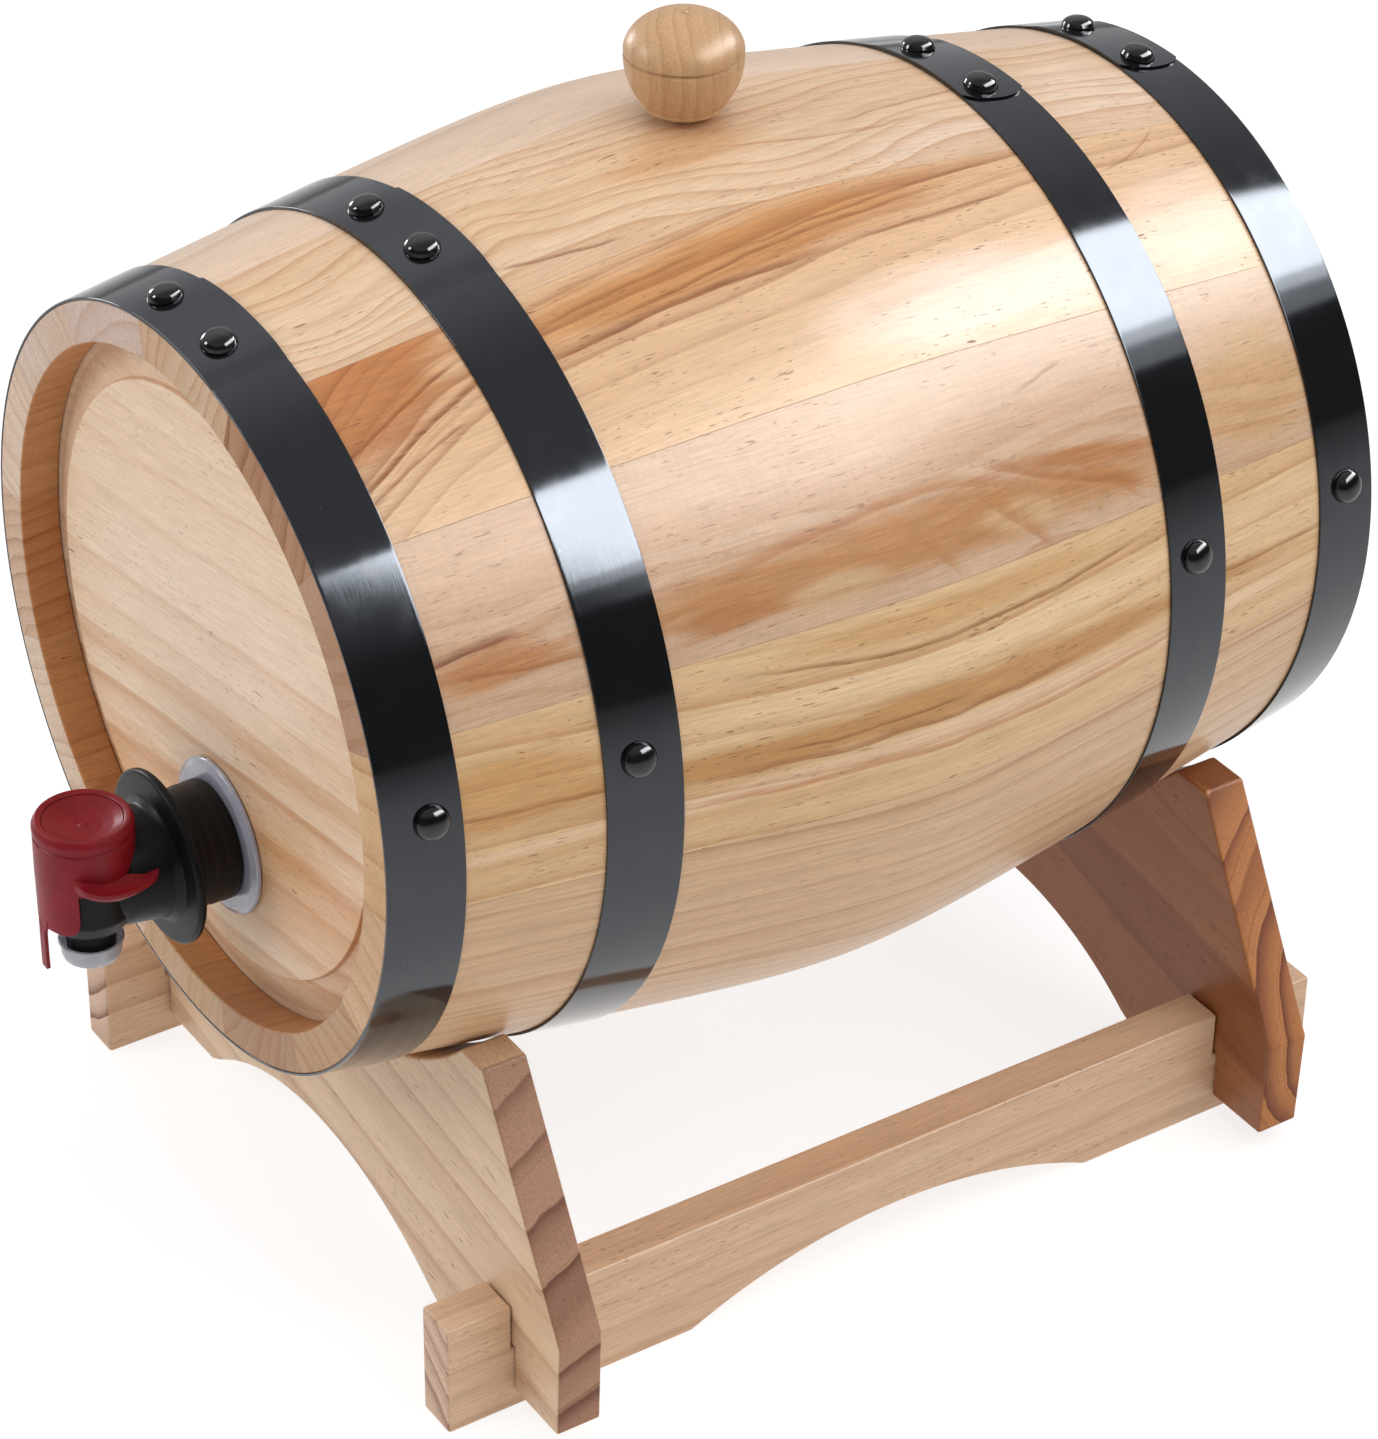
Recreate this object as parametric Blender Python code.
"""Small coopered wine barrel on a cradle stand, with a push-button tap.

Frame: metres, +Z up, the tap faces -Y (front), the barrel's axis runs along Y, +X is right.
Origin: the middle of the whole object's footprint, on the floor.
All dimensions below are in millimetres and degrees. A y is measured from the barrel's
middle, a z from the floor, and an angle about the barrel's axis from the crown towards +X.
"""
import math
import bpy
import bmesh
from mathutils import Matrix, Vector

# ---------------------------------------------------------------- clean start
for old_object in list(bpy.data.objects):
    bpy.data.objects.remove(old_object, do_unlink=True)
for old_mesh in list(bpy.data.meshes):
    bpy.data.meshes.remove(old_mesh)

# --------------------------------------------------------- driving dimensions
Y_SHIFT = 20.535          # barrel's middle, behind the footprint's middle
AXIS_H = 162.2            # barrel axis above the floor
HALF_L = 136.9            # half of the barrel's length
R_BILGE = 110.25          # outer radius of the staves at the middle
R_END = 92.04             # outer radius of the staves at the chime
BEND = 26.8               # how tightly the stave turns over at the bilge
CROWN_Z = AXIS_H + R_BILGE

N_STAVES = 14
STAVE_T = 10.6            # stave thickness
STAVE_PITCH = 360.0 / N_STAVES
STAVE_PHASE = 18.6        # angle of one joint between staves
STAVE_STEPS = 3           # facets across one stave
JOINT_GAP = 0.06          # half of the gap between two staves

# Depths are measured inwards from the stave ends.
R_CHIME_IN = 82.2         # bore at the chime
CROZE_FRONT = 10.5        # groove that holds the head: its near and far sides
CROZE_BACK = 15.4
R_CROZE = 85.5
PANEL_DEPTH = 7.0         # outer face of the head
HEAD_BACK = 19.0          # inner face of the head
FRONT_FACE_Y = -HALF_L + PANEL_DEPTH
FRONT_BACK_Y = -HALF_L + HEAD_BACK

BUNG_X, BUNG_Y = -1.5, -1.0
TAP_X = 2.0               # tap axis, from the middle plane
TAP_Z = 121.0             # tap axis above the floor
VALVE_Y = -165.2          # vertical valve axis
FIT = 0.3                 # gap between touching pieces of the stand and barrel

# ------------------------------------------------------------------- materials


def material(name, color, roughness, metallic=0.0):
    mat = bpy.data.materials.new(name)
    mat.use_nodes = True
    shader = mat.node_tree.nodes["Principled BSDF"]
    shader.inputs["Base Color"].default_value = (*color, 1.0)
    shader.inputs["Roughness"].default_value = roughness
    shader.inputs["Metallic"].default_value = metallic
    return mat


PINE = material("pine_stave", color=(0.72, 0.50, 0.29), roughness=0.38)
PINE_HEAD = material("pine_head", color=(0.74, 0.54, 0.35), roughness=0.42)
PINE_STAND = material("pine_stand", color=(0.66, 0.44, 0.25), roughness=0.42)
BEECH = material("beech_bung", color=(0.62, 0.42, 0.22), roughness=0.36)
ENAMEL = material("black_strap", color=(0.02, 0.02, 0.023), roughness=0.3, metallic=0.6)
RIVET = material("black_rivet", color=(0.008, 0.008, 0.009), roughness=0.16, metallic=0.4)
BLACK_PP = material("black_plastic", color=(0.02, 0.02, 0.023), roughness=0.42)
TAPE = material("dark_tape", color=(0.03, 0.022, 0.018), roughness=0.45)
RED_PP = material("red_plastic", color=(0.30, 0.012, 0.02), roughness=0.36)
GREY_PE = material("grey_plastic", color=(0.45, 0.45, 0.48), roughness=0.32)
WHITE_PE = material("white_plastic", color=(0.80, 0.80, 0.82), roughness=0.35)
RUBBER = material("seal_rubber", color=(0.05, 0.05, 0.05), roughness=0.6)
FOIL = material("liner_foil", color=(0.60, 0.60, 0.62), roughness=0.35, metallic=0.6)

# -------------------------------------------------------------- points, frames


def spaced(start, end, count):
    """count + 1 even steps from start to end."""
    return [start + (end - start) * i / count for i in range(count + 1)]


def barrel_point(radius, y, degrees):
    angle = math.radians(degrees)
    return Vector((radius * math.sin(angle), y + Y_SHIFT, AXIS_H + radius * math.cos(angle)))


def stave_r(y):
    """Outer radius of the barrel at y: a hyperbola, flatter towards the ends."""
    span = math.sqrt(HALF_L ** 2 + BEND ** 2) - BEND
    return R_BILGE - (R_BILGE - R_END) * (math.sqrt(y * y + BEND ** 2) - BEND) / span


def inner_r(y):
    return stave_r(y) - STAVE_T


def upright(x, y, turn=0.0):
    """Frame whose Z is world +Z, on the line (x, y), turned about its Z."""
    return (Matrix.Translation((x, y + Y_SHIFT, 0))
            @ Matrix.Rotation(math.radians(turn), 4, "Z"))


def lengthwise(x, z, turn=0.0):
    """Frame whose Z runs along world +Y, on the line (x, z), turned about its Z."""
    return (Matrix.Translation((x, Y_SHIFT, z))
            @ Matrix.Rotation(math.radians(-90), 4, "X")
            @ Matrix.Rotation(math.radians(turn), 4, "Z"))


def on_tap(y):
    return Vector((TAP_X, y + Y_SHIFT, TAP_Z))


def on_valve(z):
    return Vector((TAP_X, VALVE_Y + Y_SHIFT, z))


BARREL_AXIS = lengthwise(0, AXIS_H)
BUNG_AXIS = upright(BUNG_X, BUNG_Y)
TAP_AXIS = lengthwise(TAP_X, TAP_Z)
VALVE_AXIS = upright(TAP_X, VALVE_Y)
VALVE_TURNED = upright(TAP_X, VALVE_Y, turn=3.7)

# -------------------------------------------------------------- mesh and object


def bridge(mesh, ring, following):
    """Quads between two closed rings of equal length."""
    for i in range(len(ring)):
        k = (i + 1) % len(ring)
        mesh.faces.new((ring[i], ring[k], following[k], following[i]))


def skin(sections, closed=False):
    """Join a row of closed sections; the row is capped, or closed into a loop."""
    mesh = bmesh.new()
    rings = [[mesh.verts.new(point) for point in section] for section in sections]
    for ring, following in zip(rings, rings[1:]):
        bridge(mesh, ring, following)
    if closed:
        bridge(mesh, rings[-1], rings[0])
    else:
        mesh.faces.new(rings[0])
        mesh.faces.new(list(reversed(rings[-1])))
    return mesh


def circle(radius, height, frame, steps):
    return [frame @ Vector((radius * math.cos(2 * math.pi * i / steps),
                            radius * math.sin(2 * math.pi * i / steps), height))
            for i in range(steps)]


def tube(outline, frame, steps):
    """Turn a closed (radius, height) outline that stays off the axis about frame's Z."""
    return skin([circle(radius, height, frame, steps) for radius, height in outline],
                closed=True)


def lathe(outline, frame, steps):
    """Turn an open (radius, height) outline, both ends on the axis, about frame's Z."""
    mesh = bmesh.new()
    rings = []
    for radius, height in outline:
        if radius < 1e-6:
            points = [frame @ Vector((0, 0, height))]
        else:
            points = circle(radius, height, frame, steps)
        rings.append([mesh.verts.new(point) for point in points])
    for ring, following in zip(rings, rings[1:]):
        if len(ring) > 1 and len(following) > 1:
            bridge(mesh, ring, following)
            continue
        for i in range(steps):
            k = (i + 1) % steps
            if len(ring) == 1:
                mesh.faces.new((ring[0], following[i], following[k]))
            else:
                mesh.faces.new((ring[i], ring[k], following[0]))
    return mesh


def place(name, mesh, mat, origin, sharp_angle=None):
    """Make an object from a mesh in world millimetres; flat shaded without sharp_angle."""
    bmesh.ops.recalc_face_normals(mesh, faces=mesh.faces[:])
    origin = Vector(origin)
    for vert in mesh.verts:
        vert.co = (vert.co - origin) * 0.001
    data = bpy.data.meshes.new(name)
    mesh.to_mesh(data)
    mesh.free()
    if sharp_angle is not None:
        data.shade_smooth()
        data.set_sharp_from_angle(angle=math.radians(sharp_angle))
    data.materials.append(mat)
    item = bpy.data.objects.new(name, data)
    item.location = origin * 0.001
    bpy.context.scene.collection.objects.link(item)
    return item


def boolean(target, name, mesh, operation):
    """Add a boolean modifier to target, with a helper made from mesh as its tool."""
    tool = place(name, mesh, GREY_PE, (0, 0, 0))
    tool.hide_render = True
    tool.display_type = "WIRE"
    modifier = target.modifiers.new(operation.lower() + "_" + name, "BOOLEAN")
    modifier.operation = operation
    modifier.solver = "EXACT"
    modifier.object = tool


def cut(target, name, mesh):
    boolean(target, name, mesh, "DIFFERENCE")


def join(target, name, mesh):
    boolean(target, name, mesh, "UNION")


def cylinder(frame, radius, low, high, steps):
    return lathe([(0, low), (radius, low), (radius, high), (0, high)], frame, steps)


# ----------------------------------------------------------------------- hoops
HOOP_W = 18.2
HOOP_T = 1.0
HOOP_GAP = 0.3            # between stave and strap
HEAD_HOOP_Y = HALF_L - HOOP_W / 2    # head hoops end flush with the staves
QUARTER_HOOP_Y = 76.7
# Lap of the strap's ends, degrees: (clean step, start of the ramp)
LAP_FRONT = (-11.0, 11.4)
LAP_REAR = (8.9, -13.0)
LAP_STEP = 0.05           # half of the clean step's run, degrees
LAP_RAMP = 3.0            # run of the ramp, degrees
LAP_CLEARANCE = 0.6       # regular stations nearer than this to a lap station are left out

# name, middle y, turn of the lap in degrees, lap, and the place of each rivet in the
# order of RIVET_TAGS: (degrees from the crown, mm from the strap's middle to the rear)
HOOPS = (
    ("hoop_1_front_head", -HEAD_HOOP_Y, 0.0, LAP_FRONT,
     ((-8.5, -0.9), (6.8, -1.2), (81.0, 2.0), (-80.9, 0.0))),
    ("hoop_2_front_quarter", -QUARTER_HOOP_Y, 0.0, LAP_FRONT,
     ((-7.6, -1.2), (5.7, -0.6), (80.0, -1.0), (-80.9, 0.0))),
    ("hoop_3_rear_quarter", QUARTER_HOOP_Y, 0.0, LAP_REAR,
     ((-8.6, -1.5), (5.5, -1.4), (79.3, -0.6), (-80.9, 0.0))),
    ("hoop_4_rear_head", HEAD_HOOP_Y, -2.6, LAP_REAR,
     ((-11.6, -1.2), (2.8, -1.2), (79.2, 0.0), (-83.5, 0.0))),
)
RIVET_TAGS = ("top_a", "top_b", "right", "left")


def hoop_edges(y_middle):
    return (y_middle - HOOP_W / 2, y_middle + HOOP_W / 2)


def wrap(degrees):
    return (degrees + 180.0) % 360.0 - 180.0


def hoop(name, y_middle, turn, lap):
    """A strap bent to a ring, its two ends lapped at the crown.

    The lapped end is an extra thickness. It ends in a clean step on one side
    and runs down onto the strap on the other.
    """
    clean, ramp = (turn + degrees for degrees in lap)
    sign = 1.0 if clean > ramp else -1.0
    lap_stations = [clean - LAP_STEP * sign, clean + LAP_STEP * sign,
                    ramp, ramp - LAP_RAMP * sign]
    facets = N_STAVES * STAVE_STEPS
    regular = [STAVE_PHASE + k * 360.0 / facets for k in range(facets)]
    kept = [degrees for degrees in regular
            if min(abs(wrap(degrees - station)) for station in lap_stations) > LAP_CLEARANCE]
    stations = sorted({round(wrap(degrees), 3) for degrees in kept + lap_stations})

    edges = hoop_edges(y_middle)
    sections = []
    for degrees in stations:
        # The margin takes up the rounding of the stations.
        lapped = min(clean, ramp) - 1e-3 <= degrees <= max(clean, ramp) + 1e-3
        thickness = HOOP_T * (2 if lapped else 1)
        sections.append(
            [barrel_point(stave_r(y) + HOOP_GAP, y, degrees) for y in edges]
            + [barrel_point(stave_r(y) + HOOP_GAP + thickness, y, degrees)
               for y in reversed(edges)])
    place(name, skin(sections, closed=True), ENAMEL, barrel_point(0, y_middle, 0),
          sharp_angle=30)


RIVET_R = 4.2
RIVET_H = 2.9
RIVET_RIM = 0.35          # height of the rim below the dome
RIVET_LIFT = 0.22         # rivet's underside above the strap


def rivet_outline():
    outline = [(0.0, RIVET_H)]
    for degrees in (32.0, 62.0):
        angle = math.radians(degrees)
        outline.append((RIVET_R * math.sin(angle),
                        RIVET_RIM + (RIVET_H - RIVET_RIM) * math.cos(angle)))
    return outline + [(RIVET_R, RIVET_RIM), (RIVET_R - 0.15, 0.0), (0.0, 0.0)]


def rivet(name, y, degrees, lapped):
    """A domed rivet head standing square on the strap."""
    angle = math.radians(degrees)
    slope = (stave_r(y + 0.05) - stave_r(y - 0.05)) / 0.1
    normal = Vector((math.sin(angle), -slope, math.cos(angle))).normalized()
    strap = HOOP_T * (2 if lapped else 1)
    seat = barrel_point(stave_r(y) + HOOP_GAP + strap, y, degrees) + normal * RIVET_LIFT
    tilt = Vector((0, 0, 1)).rotation_difference(normal).to_matrix().to_4x4()
    mesh = lathe(rivet_outline(), Matrix.Translation(seat) @ tilt, 10)
    place(name, mesh, RIVET, seat, sharp_angle=40)


def hoops():
    for number, (name, y_middle, turn, lap, rivets) in enumerate(HOOPS, start=1):
        hoop(name, y_middle, turn, lap)
        for tag, (degrees, offset) in zip(RIVET_TAGS, rivets):
            rivet("rivet_%d_%s" % (number, tag), y_middle + offset, degrees,
                  lapped=tag.startswith("top"))


# ---------------------------------------------------------------------- staves
STAVE_OUTER_Y = (-44.0, -20.0, 0.0, 20.0, 44.0)   # stations between the quarter hoops
STAVE_INNER_Y = (62.0, 18.0, -18.0, -62.0)        # stations between the croze grooves
BUNG_HOLE_R = 8.4


def stave_outline():
    """Closed (radius, y) outline: outside, rear chime and croze, hollow, front ones."""
    near = HALF_L - CROZE_FRONT
    far = HALF_L - CROZE_BACK
    lip = inner_r(near)
    # The outside has a station at each edge of a hoop, so that the straps lie on it.
    edges = {round(y, 4) for row in HOOPS for y in hoop_edges(row[1])}
    outline = [(stave_r(y), y) for y in sorted(edges | {-HALF_L, HALF_L, *STAVE_OUTER_Y})]
    outline += [(R_CHIME_IN, HALF_L), (lip, near), (R_CROZE, near), (R_CROZE, far)]
    outline += [(inner_r(y), y) for y in (far, *STAVE_INNER_Y, -far)]
    outline += [(R_CROZE, -far), (R_CROZE, -near), (lip, -near), (R_CHIME_IN, -HALF_L)]
    return outline


def staves():
    """The ring of staves; the first one lies at the crown and has the bung hole."""
    outline = stave_outline()
    gap = math.degrees(JOINT_GAP / R_END)
    for i in range(N_STAVES):
        start = STAVE_PHASE - STAVE_PITCH + i * STAVE_PITCH
        sections = [[barrel_point(radius, y, degrees) for radius, y in outline]
                    for degrees in spaced(start + gap, start + STAVE_PITCH - gap, STAVE_STEPS)]
        stave = place("stave_%02d" % (i + 1), skin(sections), PINE, barrel_point(0, 0, 0),
                      sharp_angle=30)
        if i == 0:
            cut(stave, "cut_bung_hole",
                cylinder(BUNG_AXIS, BUNG_HOLE_R, CROWN_Z - 30, CROWN_Z + 10, 24))


# ----------------------------------------------------------------------- heads
PANEL_R = 72.0            # raised panel of the head
TONGUE_R = 85.0           # tongue that sits in the croze
TONGUE_ROOT_R = 81.4
TONGUE_GAP = 0.25         # between the tongue and each side of the croze
HEAD_BACK_R = 78.0
TAP_HOLE_R = 16.9

# (radius, depth from the stave ends), from the outer middle to the inner middle
HEAD_OUTLINE = (
    (0, PANEL_DEPTH), (PANEL_R - 0.6, PANEL_DEPTH), (PANEL_R, PANEL_DEPTH + 0.5),
    (PANEL_R + 0.3, PANEL_DEPTH + 1.5), (TONGUE_ROOT_R, CROZE_FRONT + TONGUE_GAP),
    (TONGUE_R, CROZE_FRONT + TONGUE_GAP), (TONGUE_R, CROZE_BACK - TONGUE_GAP),
    (TONGUE_ROOT_R, CROZE_BACK - TONGUE_GAP), (HEAD_BACK_R, HEAD_BACK), (0, HEAD_BACK),
)


def head(name, side):
    """One head; side is -1 at the front and 1 at the rear."""
    outline = [(radius, side * (HALF_L - depth)) for radius, depth in HEAD_OUTLINE]
    return place(name, lathe(outline, BARREL_AXIS, 42), PINE_HEAD,
                 barrel_point(0, side * (HALF_L - PANEL_DEPTH), 0), sharp_angle=20)


def heads():
    front = head("front_head", -1)
    cut(front, "cut_tap_hole", cylinder(TAP_AXIS, TAP_HOLE_R, -150, -100, 24))
    head("rear_head", 1)


# ------------------------------------------------------------------------ bung
# Heights are measured from the crown of the barrel.
BUNG_LIFT = 3.0           # the knob's underside
KNOB_R = 14.0
KNOB_LOWER_H = 15.2       # centre of the lower bulge
KNOB_UPPER_H = 15.8       # centre of the upper dome
KNOB_DOME_H = 9.6


def bung():
    """A plug with a round knob, grooved at its widest and with a low tip on top."""
    outline = [(0.0, -14.0), (7.3, -14.0), (7.9, -12.0), (8.05, BUNG_LIFT),
               (9.6, BUNG_LIFT), (10.1, BUNG_LIFT + 0.5)]
    for degrees in (-50.0, -26.0):
        angle = math.radians(degrees)
        # A power below 1 makes the lower half fuller than a ball.
        outline.append((KNOB_R * math.cos(angle) ** 0.86,
                        KNOB_LOWER_H + KNOB_R * math.sin(angle)))
    outline += [(13.9, 15.0), (13.3, 15.4), (13.9, KNOB_UPPER_H)]
    for degrees in (24.0, 48.0, 70.0):
        angle = math.radians(degrees)
        outline.append((KNOB_R * math.cos(angle),
                        KNOB_UPPER_H + KNOB_DOME_H * math.sin(angle)))
    outline += [(0.9, 25.5), (0.6, 25.95), (0.0, 26.1)]
    mesh = lathe([(radius, height + CROWN_Z) for radius, height in outline], BUNG_AXIS, 20)
    place("bung", mesh, BEECH, (BUNG_X, BUNG_Y + Y_SHIFT, CROWN_Z), sharp_angle=40)


# ------------------------------------------------------------- gland and liner
GLAND_R = 19.5            # outer flange
GLAND_BORE_R = 13.0
GLAND_WAIST_R = 16.5      # part inside the head's hole
GLAND_BACK_R = 20.5       # inner flange
GLAND_BACK_Y = FRONT_BACK_Y + 1.8

# Closed (radius, y) outline
GLAND_OUTLINE = (
    (GLAND_BORE_R, FRONT_FACE_Y - 1.9), (GLAND_R - 1.2, FRONT_FACE_Y - 1.9),
    (GLAND_R, FRONT_FACE_Y - 1.2), (GLAND_R, FRONT_FACE_Y - 0.3),
    (GLAND_WAIST_R, FRONT_FACE_Y - 0.3), (GLAND_WAIST_R, FRONT_BACK_Y + 0.3),
    (GLAND_BACK_R, FRONT_BACK_Y + 0.3), (GLAND_BACK_R, GLAND_BACK_Y),
    (GLAND_BORE_R, GLAND_BACK_Y),
)

BAG_Y = (FRONT_BACK_Y + 2.2, HALF_L - HEAD_BACK - 3.0)
BAG_END_R = (44.0, 46.0)  # front and rear ends, before scaling
BAG_GAP = 7.0             # to the staves at the middle, before scaling
BAG_TAPER = 16.0          # drawn in further towards the ends
BAG_SCALE = 0.96          # of all the bag's radii
BAG_DROP = 4.0            # below the barrel's axis


def liner_gland():
    place("liner_gland", tube(GLAND_OUTLINE, TAP_AXIS, 28), GREY_PE, on_tap(FRONT_FACE_Y),
          sharp_angle=30)


def liner_bag():
    """The bag inside the barrel; it follows the staves' hollow."""
    front, rear = BAG_Y
    outline = [(0.0, front), (BAG_END_R[0], front)]
    for part in spaced(0.06, 0.94, 6):
        y = front + part * (rear - front)
        outline.append((inner_r(y) - BAG_GAP - BAG_TAPER * abs(2 * part - 1) ** 4, y))
    outline += [(BAG_END_R[1], rear), (0.0, rear)]
    height = AXIS_H - BAG_DROP
    mesh = lathe([(radius * BAG_SCALE, y) for radius, y in outline],
                 lengthwise(0, height), 18)
    place("liner_bag", mesh, FOIL, (0, Y_SHIFT, height), sharp_angle=60)


# -------------------------------------------------------------------- tap body
SPIGOT_R = 12.4
NECK_R = 13.2
FLANGE_R = 21.5
NECK_Y = FRONT_FACE_Y - 2.4       # rear end of the neck
SEAL_Y = -122.5                   # middle of the seal and its groove
SEAL_R = 11.98                    # seal ring's mean radius
SEAL_SECTION_R = 0.82
GROOVE_R = 11.0
GROOVE_HALF_W = 1.1

# (radius, y) from rear to front: spigot with seal groove, neck, grip flange, nose
BODY_OUTLINE = (
    (0, GLAND_BACK_Y), (SPIGOT_R - 0.8, GLAND_BACK_Y), (SPIGOT_R, FRONT_BACK_Y + 1.0),
    (SPIGOT_R, SEAL_Y + GROOVE_HALF_W), (GROOVE_R, SEAL_Y + GROOVE_HALF_W),
    (GROOVE_R, SEAL_Y - GROOVE_HALF_W), (SPIGOT_R, SEAL_Y - GROOVE_HALF_W),
    (SPIGOT_R, NECK_Y), (NECK_R, NECK_Y), (NECK_R, -145.2),
    (FLANGE_R - 0.6, -145.2), (FLANGE_R, -145.8), (FLANGE_R, -146.8),
    (FLANGE_R - 0.6, -147.4), (12.6, -147.8), (12.2, -159.7), (9.3, -163.9), (0, -163.9),
)
# (radius, z) upwards: nozzle, shoulder, valve barrel
VALVE_BARREL_OUTLINE = (
    (0, 102.9), (5.3, 102.9), (5.8, 103.4), (5.9, 108.4), (7.4, 109.2), (8.6, 110.8),
    (10.8, 112.4), (10.8, 134.0), (0, 134.0),
)


def tap_body():
    """Spigot, neck and nose on the tap's axis, with the bored valve barrel across them."""
    body = place("tap_body", lathe(BODY_OUTLINE, TAP_AXIS, 24), BLACK_PP, on_tap(-147.0),
                 sharp_angle=30)
    join(body, "join_valve_barrel", lathe(VALVE_BARREL_OUTLINE, VALVE_TURNED, 24))
    cut(body, "cut_valve_deck", cylinder(VALVE_AXIS, COLLAR_IN_R, 131.9, 142, 28))
    cut(body, "cut_valve_bore", cylinder(VALVE_TURNED, 7.4, 111.7, 140, 18))
    cut(body, "cut_nozzle_bore", cylinder(VALVE_TURNED, 4.6, 100, 114, 16))
    flow_frame = lengthwise(TAP_X, TAP_Z, turn=5.3)
    cut(body, "cut_flow_bore", cylinder(flow_frame, 5.8, -161.1, -100, 16))


TAPE_R = 14.5
TAPE_IN_R = NECK_R + 0.25
TAPE_Y = (-144.9, FRONT_FACE_Y - 2.2)


def neck_tape():
    front, rear = TAPE_Y
    outline = [(TAPE_IN_R, front), (TAPE_R, front), (TAPE_R, rear), (TAPE_IN_R, rear)]
    place("neck_tape", tube(outline, TAP_AXIS, 28), TAPE, on_tap(-138.0), sharp_angle=30)


def spigot_seal():
    """A ring of six-sided section in the spigot's groove."""
    outline = []
    for i in range(6):
        angle = math.radians(60 * i + 30)
        outline.append((SEAL_R + SEAL_SECTION_R * math.cos(angle),
                        SEAL_Y + SEAL_SECTION_R * math.sin(angle)))
    place("spigot_seal", tube(outline, TAP_AXIS, 24), RUBBER, on_tap(SEAL_Y), sharp_angle=60)


# ------------------------------------------------------------------ tap collar
COLLAR_R = 11.5
COLLAR_IN_R = 11.05
# Closed (radius, z) outline of the ring round the thumb button
COLLAR_OUTLINE = (
    (COLLAR_IN_R, 124.6), (COLLAR_R + 0.15, 124.6), (COLLAR_R, 135.4),
    (COLLAR_R - 0.4, 135.9), (COLLAR_R, 136.4), (COLLAR_R, 138.6), (COLLAR_R - 0.9, 139.6),
    (9.7, 139.5), (9.45, 138.9), (9.45, 132.4), (COLLAR_IN_R, 132.4),
)
# (radius, y) of the clearance cut for the nose of the tap body
SADDLE_OUTLINE = ((0, -164.3), (9.55, -164.3), (12.6, -159.9), (13.1, -140.0), (0, -140.0))

SKIRT_ANGLES = (-62.0, 54.0)
SKIRT_TOP_Z = 126.0
SKIRT_EDGE_Z = 125.0      # lower edge where its curve starts
SKIRT_DROP = 11.9         # from there to the lowest edge, at the front

STRIP_T = 0.9
# (z, inner radius) of the seal strip, from the top
STRIP_STATIONS = ((114.0, 11.3), (109.5, 11.5), (105.5, 11.8), (101.2, 11.3))

WING_HALF_L = 10.5
WING_Y = 1.9              # wing's middle, behind the valve's axis
WING_Z = 125.1            # lowest point of the wing
WING_RISE_REAR, WING_RISE_FRONT = 0.3, 4.5
WING_ROOT_R = 11.4
WING_REACH = 4.8          # beyond the root, at the wing's middle
WING_IN_X = 7.2           # least distance of the inner edge from the valve's axis


def collar_point(radius, degrees, z):
    """Round the valve's axis: 0 degrees faces forward (-Y), 90 faces +X."""
    angle = math.radians(degrees)
    return on_valve(z) + Vector((radius * math.sin(angle), -radius * math.cos(angle), 0))


def skirt():
    """Curved plate hanging at the front of the collar."""
    sections = []
    for degrees in spaced(*SKIRT_ANGLES, 10):
        edge = SKIRT_EDGE_Z - SKIRT_DROP * (1.0 - (abs(degrees) / 66.0) ** 8)
        sections.append([collar_point(COLLAR_IN_R, degrees, SKIRT_TOP_Z),
                         collar_point(11.7, degrees, SKIRT_TOP_Z),
                         collar_point(11.6, degrees, edge),
                         collar_point(COLLAR_IN_R, degrees, edge)])
    return skin(sections)


def seal_strip():
    """Narrow strip hanging below the skirt."""
    return skin([[collar_point(radius, -6.8, z), collar_point(radius, 4.8, z),
                  collar_point(radius + STRIP_T, 4.5, z),
                  collar_point(radius + STRIP_T, -6.5, z)]
                 for z, radius in STRIP_STATIONS])


def wing(side):
    """Finger wing, from front to rear; side is -1 on the left and 1 on the right."""
    sections = []
    for part in spaced(-1.0, 1.0, 8):
        offset = WING_HALF_L * part + WING_Y
        y = VALVE_Y + Y_SHIFT + offset
        z = WING_Z + (WING_RISE_REAR if part > 0 else WING_RISE_FRONT) * part * part
        outer = WING_ROOT_R + WING_REACH * math.sqrt(1.0 - (0.97 * abs(part)) ** 3)
        # The inner edge follows the collar's wall, but stops short of the axis.
        inner = max(math.sqrt(11.3 ** 2 - min(11.2, abs(offset)) ** 2) * 0.98, WING_IN_X)
        sections.append([(TAP_X + side * inner, y, z), (TAP_X + side * outer, y, z + 0.7),
                         (TAP_X + side * outer, y, z + 1.9),
                         (TAP_X + side * inner, y, z + 1.6)])
    return skin(sections)


def tap_collar():
    """Ring with front skirt, seal strip and two finger wings, cleared for the tap body."""
    collar = place("tap_collar", tube(COLLAR_OUTLINE, VALVE_AXIS, 28), RED_PP,
                   on_valve(130.0), sharp_angle=30)
    join(collar, "join_skirt", skirt())
    join(collar, "join_seal_strip", seal_strip())
    join(collar, "join_wing_left", wing(-1))
    join(collar, "join_wing_right", wing(1))
    cut(collar, "cut_collar_bore", cylinder(VALVE_AXIS, 11.02, 95, 132.35, 28))
    cut(collar, "cut_collar_saddle",
        lathe(SADDLE_OUTLINE, lengthwise(TAP_X, TAP_Z, turn=2.1), 28))


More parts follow.
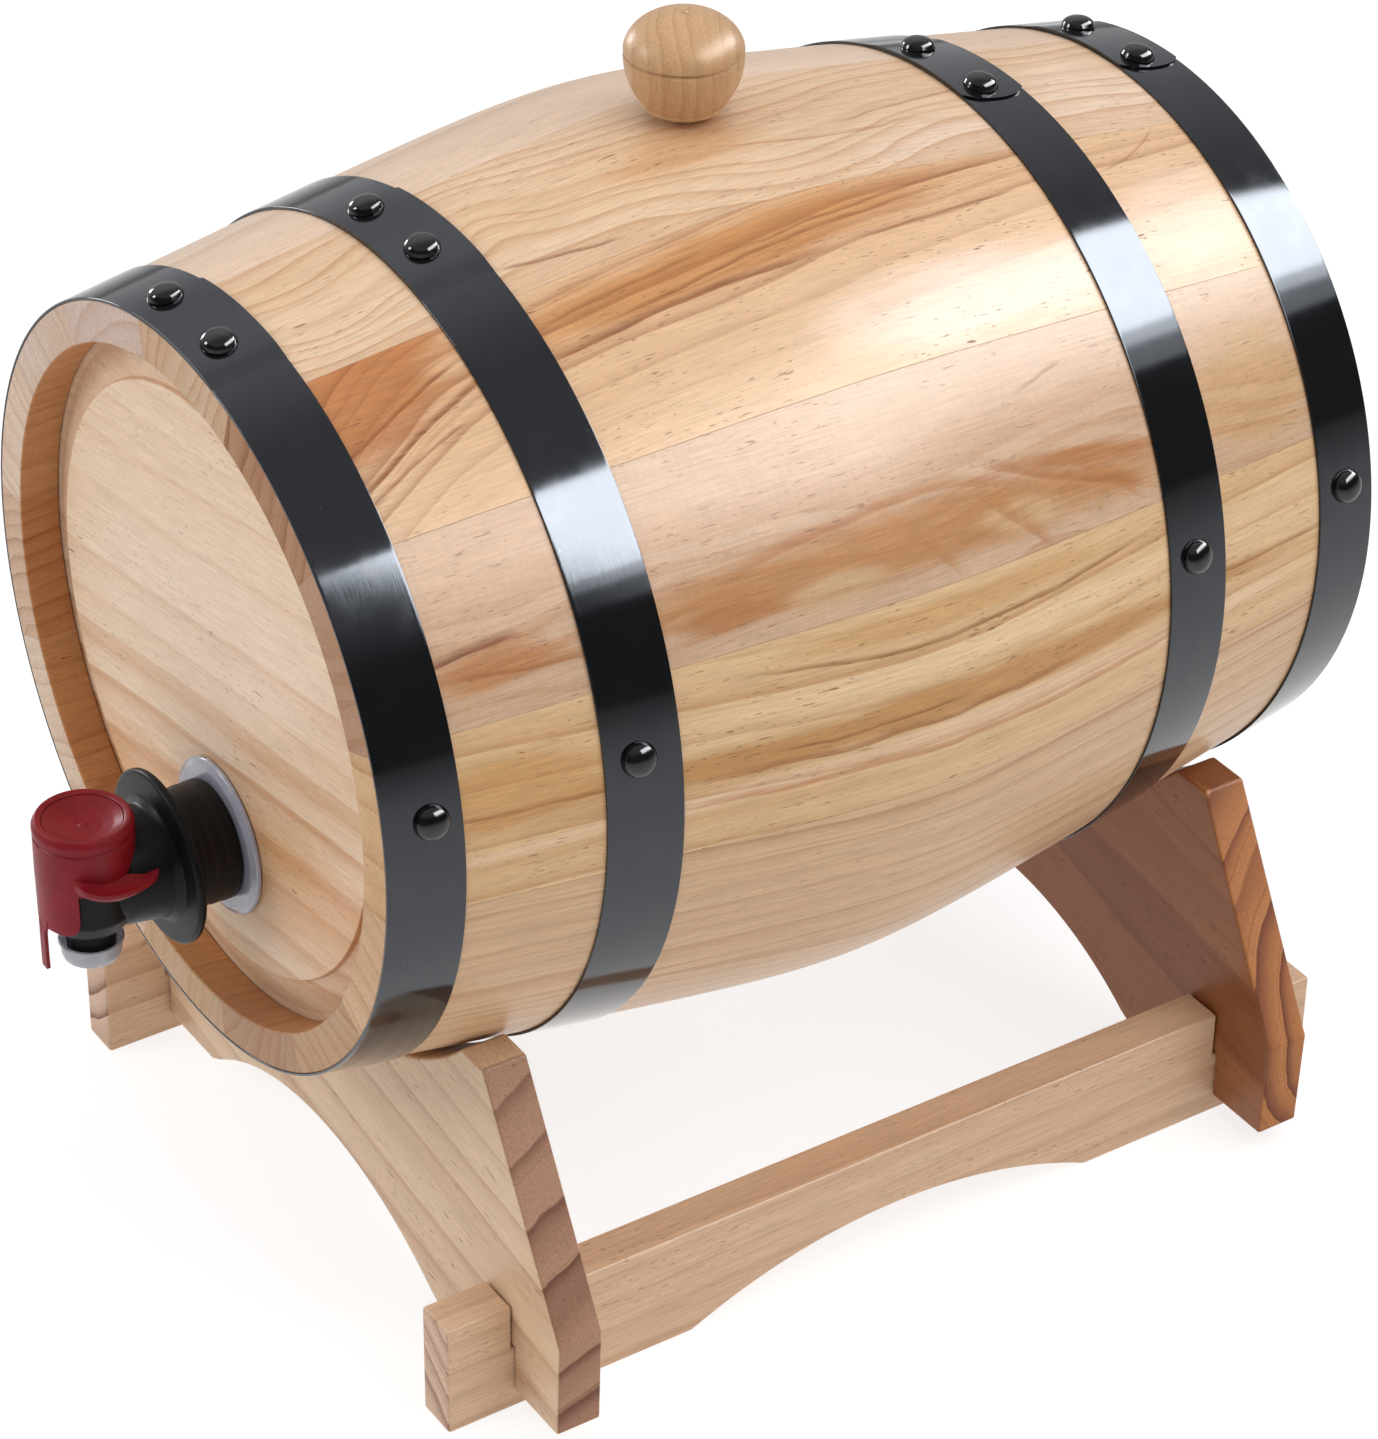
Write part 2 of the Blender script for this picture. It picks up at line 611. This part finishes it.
# ----------------------------------------------------------------- valve parts
# Open (radius, z) outlines about the valve's axis
BUTTON_OUTLINE = (
    (0.0, 137.0), (0.9, 136.9), (1.3, 136.6), (5.0, 136.9), (7.6, 137.8), (8.9, 138.9),
    (9.15, 138.9), (9.15, 137.2), (8.6, 136.4), (3.4, 134.9), (3.4, 134.6), (0.0, 134.6),
)
STEM_OUTLINE = ((0, 134.3), (2.2, 134.3), (2.2, 108.0), (0, 108.0))
VALVE_SEAL_OUTLINE = (
    (0, 107.7), (3.6, 107.7), (4.3, 107.0), (4.3, 105.9), (3.8, 105.4), (0, 105.4),
)
CAP_OUTLINE = (
    (0, 100.3), (5.6, 100.3), (6.6, 100.9), (7.1, 102.2), (7.5, 105.7), (6.95, 105.7),
    (6.35, 102.4), (6.1, 101.5), (0, 101.5),
)
# name, outline, steps, material, origin z, sharp angle
VALVE_PARTS = (
    ("tap_button", BUTTON_OUTLINE, 22, RED_PP, 137.0, 50),
    ("valve_stem", STEM_OUTLINE, 12, WHITE_PE, 120.0, 40),
    ("valve_seal", VALVE_SEAL_OUTLINE, 16, RUBBER, 106.5, 40),
    ("nozzle_cap", CAP_OUTLINE, 22, WHITE_PE, 104.0, 40),
)


def valve_parts():
    for name, outline, steps, mat, z, sharp_angle in VALVE_PARTS:
        place(name, lathe(outline, VALVE_AXIS, steps), mat, on_valve(z), sharp_angle)


# ----------------------------------------------------------------------- stand
BOARD_T = 12.0
BOARD_Y = (-100.4, 109.3)  # middle planes of the two end boards
BOARD_TOP = 92.6
BOARD_BOT = 5.5
TOP_OUT = 79.8            # half width of the top
KINK = (112.5, 32.7)      # (x, z) where the slanted edge meets the foot
FOOT_OUT = 111.6
FOOT_IN = 57.8
ARCH_IN = (53.5, 7.8)     # (x, z) of the arch's lower end
ARCH_TOP = 24.7
RAIL_X = (80.7, 92.2)     # inner and outer faces
RAIL_H = 31.2
RAIL_Y = (-124.3, 133.1)
RAIL_ARCH_Y = 3.5
RAIL_ARCH_HALF = 59.5
RAIL_ARCH_RISE = 13.4
LAP_Z = 18.4              # height of the halved joint between board and rail


def arch(half_width, foot, crown, fractions):
    """Points of a circular arch about 0; each fraction is of its half angle."""
    rise = crown - foot
    radius = (half_width ** 2 + rise ** 2) / (2 * rise)
    half_angle = math.asin(half_width / radius)
    return [(radius * math.sin(half_angle * part),
             crown - radius + radius * math.cos(half_angle * part)) for part in fractions]


def board_outline(saddle_r):
    """(x, z) outline. Right half: saddle, top, slanted edge, foot, slot, arch."""
    drop = AXIS_H - BOARD_TOP
    saddle_x = math.sqrt(saddle_r ** 2 - drop ** 2)
    saddle_angle = math.asin(saddle_x / saddle_r)
    half = [(saddle_r * math.sin(angle), AXIS_H - saddle_r * math.cos(angle))
            for angle in spaced(0.0, saddle_angle, 12)[1:]]
    slot_in, slot_out = RAIL_X[0] - FIT, RAIL_X[1] + FIT
    half += [(TOP_OUT, BOARD_TOP), KINK, (FOOT_OUT, BOARD_BOT),
             (slot_out, BOARD_BOT), (slot_out, LAP_Z + FIT),
             (slot_in, LAP_Z + FIT), (slot_in, BOARD_BOT), (FOOT_IN, BOARD_BOT)]
    half += arch(*ARCH_IN, ARCH_TOP, [1 - k / 8 for k in range(8)])
    left = [(-x, z) for x, z in reversed(half)]
    return [(0.0, AXIS_H - saddle_r)] + half + [(0.0, ARCH_TOP)] + left


def end_board(name, y_middle):
    faces = (y_middle - BOARD_T / 2, y_middle + BOARD_T / 2)
    # The saddle clears the barrel at the face nearer its middle, where it is wider.
    outline = board_outline(stave_r(min(faces, key=abs)) + FIT)
    mesh = skin([[(x, y + Y_SHIFT, z) for x, z in outline] for y in faces])
    place(name, mesh, PINE_STAND, (0, y_middle + Y_SHIFT, 0), sharp_angle=25)


def rail_outline():
    """(y, z) outline of a rail: notched on top for the boards, arched underneath."""
    front, rear = RAIL_Y
    points = [(front, RAIL_H), (front, 0.0), (RAIL_ARCH_Y - RAIL_ARCH_HALF, 0.0)]
    points += [(RAIL_ARCH_Y + y, z) for y, z in
               arch(RAIL_ARCH_HALF, 0.0, RAIL_ARCH_RISE, [k / 6 - 1 for k in range(1, 12)])]
    points += [(RAIL_ARCH_Y + RAIL_ARCH_HALF, 0.0), (rear, 0.0), (rear, RAIL_H)]
    for y_middle in reversed(BOARD_Y):
        notch_rear = y_middle + BOARD_T / 2 + FIT
        notch_front = y_middle - BOARD_T / 2 - FIT
        points += [(notch_rear, RAIL_H), (notch_rear, LAP_Z),
                   (notch_front, LAP_Z), (notch_front, RAIL_H)]
    return points


def rail(name, x_left, x_right):
    mesh = skin([[(x, y + Y_SHIFT, z) for y, z in rail_outline()] for x in (x_left, x_right)])
    place(name, mesh, PINE_STAND, ((x_left + x_right) / 2, Y_SHIFT, 0), sharp_angle=25)


def stand():
    end_board("front_end_board", BOARD_Y[0])
    end_board("rear_end_board", BOARD_Y[1])
    rail("right_rail", RAIL_X[0], RAIL_X[1])
    rail("left_rail", -RAIL_X[1], -RAIL_X[0])


# ----------------------------------------------------------------------- build
staves()
heads()
hoops()
bung()
liner_gland()
liner_bag()
tap_body()
neck_tape()
spigot_seal()
tap_collar()
valve_parts()
stand()
